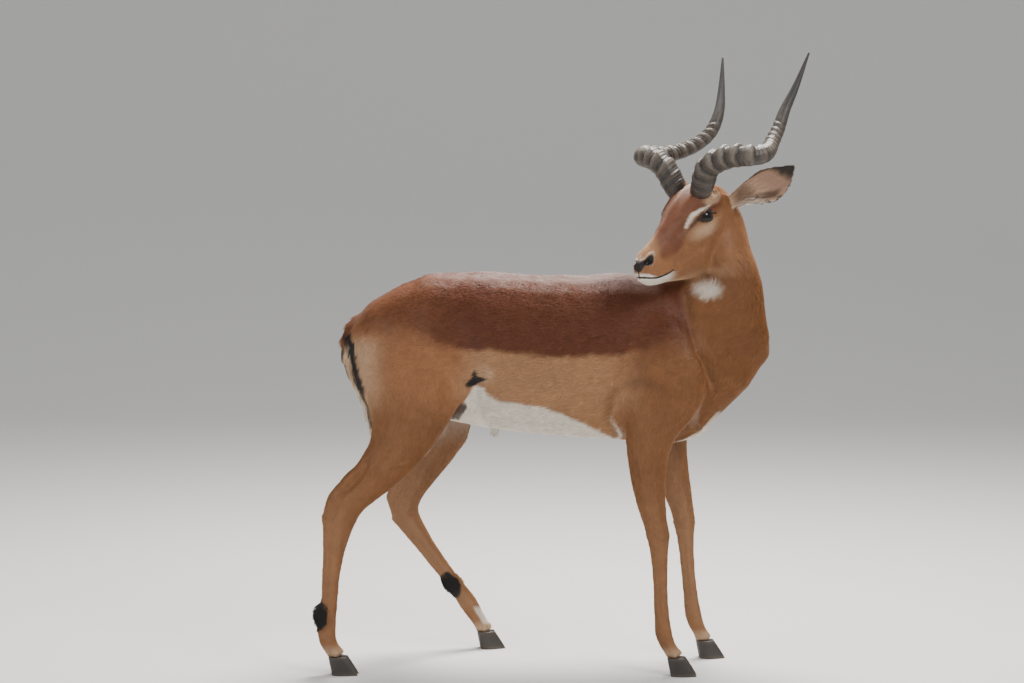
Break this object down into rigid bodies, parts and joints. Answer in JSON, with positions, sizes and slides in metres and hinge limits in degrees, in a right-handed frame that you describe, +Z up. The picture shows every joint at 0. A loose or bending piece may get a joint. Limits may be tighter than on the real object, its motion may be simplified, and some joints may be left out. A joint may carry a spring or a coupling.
{
  "type": "impala ram, life-size museum model",
  "caption": "Life-size standing impala ram with ringed lyre-shaped horns, its head turned back over the right shoulder, in its short summer coat.",
  "frame": {"origin": "on the ground, under the middle of the whole animal's box", "axes": "+X the way the trunk faces, +Y to the animal's left, +Z up; the head looks back towards -X and -Y"},
  "size_m": [1.0284, 0.3962, 1.2777],
  "materials": {
    "coat_fawn": "short soft fur, satin sheen",
    "coat_saddle": "short glossy fur",
    "coat_white": "short soft fur",
    "horn": "ridged horn, worn to a dull sheen",
    "hoof": "smooth dull horn",
    "eye": "wet and glossy"
  },
  "bodies": {
    "root": {"ear_left": "coat_fawn", "ear_right": "coat_fawn", "eye_left": "eye", "eye_right": "eye", "fore_left": "coat_fawn", "fore_left_cannon": "coat_fawn", "fore_left_claw_inner": "hoof", "fore_left_claw_outer": "hoof", "fore_right": "coat_fawn", "fore_right_cannon": "coat_fawn", "fore_right_claw_inner": "hoof", "fore_right_claw_outer": "hoof", "head": "coat_fawn", "hind_left": "coat_fawn", "hind_left_cannon": "coat_fawn", "hind_left_claw_inner": "hoof", "hind_left_claw_outer": "hoof", "hind_right": "coat_fawn", "hind_right_cannon": "coat_fawn", "hind_right_claw_inner": "hoof", "hind_right_claw_outer": "hoof", "horn_left": "horn", "horn_right": "horn", "lower_jaw": "coat_white", "neck": "coat_fawn", "tail": "coat_fawn", "trunk": "coat_saddle"}
  },
  "joints": []
}
